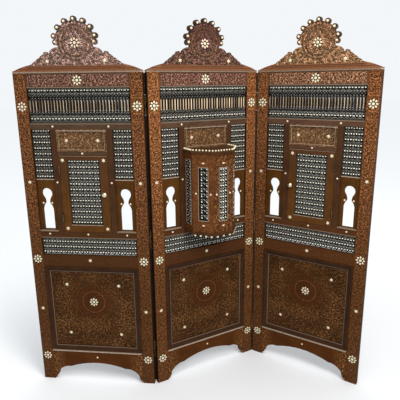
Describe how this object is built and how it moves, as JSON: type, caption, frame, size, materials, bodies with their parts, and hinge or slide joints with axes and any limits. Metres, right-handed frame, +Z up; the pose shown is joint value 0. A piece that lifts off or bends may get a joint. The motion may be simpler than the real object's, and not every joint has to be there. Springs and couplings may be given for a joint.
{
  "type": "folding screen",
  "caption": "Folding screen of carved wood frames with turned-bead lattices, lattice doors, a faceted bay window, scalloped crests and pearl inlay.",
  "frame": {"origin": "floor level, under the middle of the standing screen's bounding box", "axes": "+Z up, +Y to the back: the centre frame's face looks to -Y, and +X runs along it to the right as seen from the front"},
  "size_m": [1.4138, 0.923, 1.829],
  "materials": {
    "stile_wood": "satin",
    "rail_wood": "satin",
    "dark_wood": "satin",
    "panel_wood": "satin",
    "turned_wood": "gloss",
    "pearl": "gloss",
    "hinge_brass": "satin",
    "knob_brass": "gloss"
  },
  "bodies": {
    "centre_frame": {"centre_stiles": "stile_wood", "centre_rails": "rail_wood", "centre_muntins": "dark_wood", "centre_apron": "rail_wood", "centre_crest": "rail_wood", "centre_upper_lattice": "turned_wood", "centre_side_lattices": "turned_wood", "centre_lower_lattice": "turned_wood", "centre_keyhole_boards": "rail_wood", "centre_frieze_panel": "dark_wood", "centre_lower_panel": "panel_wood", "centre_panel_moulding": "dark_wood", "centre_pearl": "pearl", "centre_hinge_plates": "hinge_brass", "bay_boards": "dark_wood", "bay_facets": "stile_wood", "bay_lattices": "turned_wood", "bay_beads": "pearl", "bay_pearl": "pearl", "fold_hinge_pins": "hinge_brass"},
    "left_frame": {"left_stiles": "stile_wood", "left_rails": "rail_wood", "left_muntins": "dark_wood", "left_apron": "rail_wood", "left_crest": "rail_wood", "left_upper_lattice": "turned_wood", "left_side_lattices": "turned_wood", "left_lower_lattice": "turned_wood", "left_keyhole_boards": "rail_wood", "left_frieze_panel": "dark_wood", "left_lower_panel": "panel_wood", "left_panel_moulding": "dark_wood", "left_pearl": "pearl", "left_hinge_plates": "hinge_brass"},
    "right_frame": {"right_stiles": "stile_wood", "right_rails": "rail_wood", "right_muntins": "dark_wood", "right_apron": "rail_wood", "right_crest": "rail_wood", "right_upper_lattice": "turned_wood", "right_side_lattices": "turned_wood", "right_lower_lattice": "turned_wood", "right_keyhole_boards": "rail_wood", "right_frieze_panel": "dark_wood", "right_lower_panel": "panel_wood", "right_panel_moulding": "dark_wood", "right_pearl": "pearl", "right_hinge_plates": "hinge_brass"},
    "left_door": {"left_door_frame": "stile_wood", "left_door_lattice": "turned_wood", "left_door_knob": "knob_brass", "left_door_pearl": "pearl", "left_door_hinge_plates": "hinge_brass"},
    "right_door": {"right_door_frame": "stile_wood", "right_door_lattice": "turned_wood", "right_door_knob": "knob_brass", "right_door_pearl": "pearl", "right_door_hinge_plates": "hinge_brass"}
  },
  "joints": [
    {"name": "left_fold", "type": "hinge", "parent": "centre_frame", "child": "left_frame", "pos_m": [-0.20008, 0.10952, 0.794], "axis": [0, 0, 1], "range_deg": [-143, 36]},
    {"name": "right_fold", "type": "hinge", "parent": "centre_frame", "child": "right_frame", "pos_m": [0.40592, 0.07552, 0.794], "axis": [0, 0, 1], "range_deg": [-77, 63]},
    {"name": "left_door_swing", "type": "hinge", "parent": "left_frame", "child": "left_door", "pos_m": [-0.56027, 0.33043, 1.024], "axis": [0, 0, 1], "range_deg": [-170, 0]},
    {"name": "right_door_swing", "type": "hinge", "parent": "right_frame", "child": "right_door", "pos_m": [0.59806, -0.29936, 1.024], "axis": [0, 0, 1], "range_deg": [0, 170]}
  ]
}
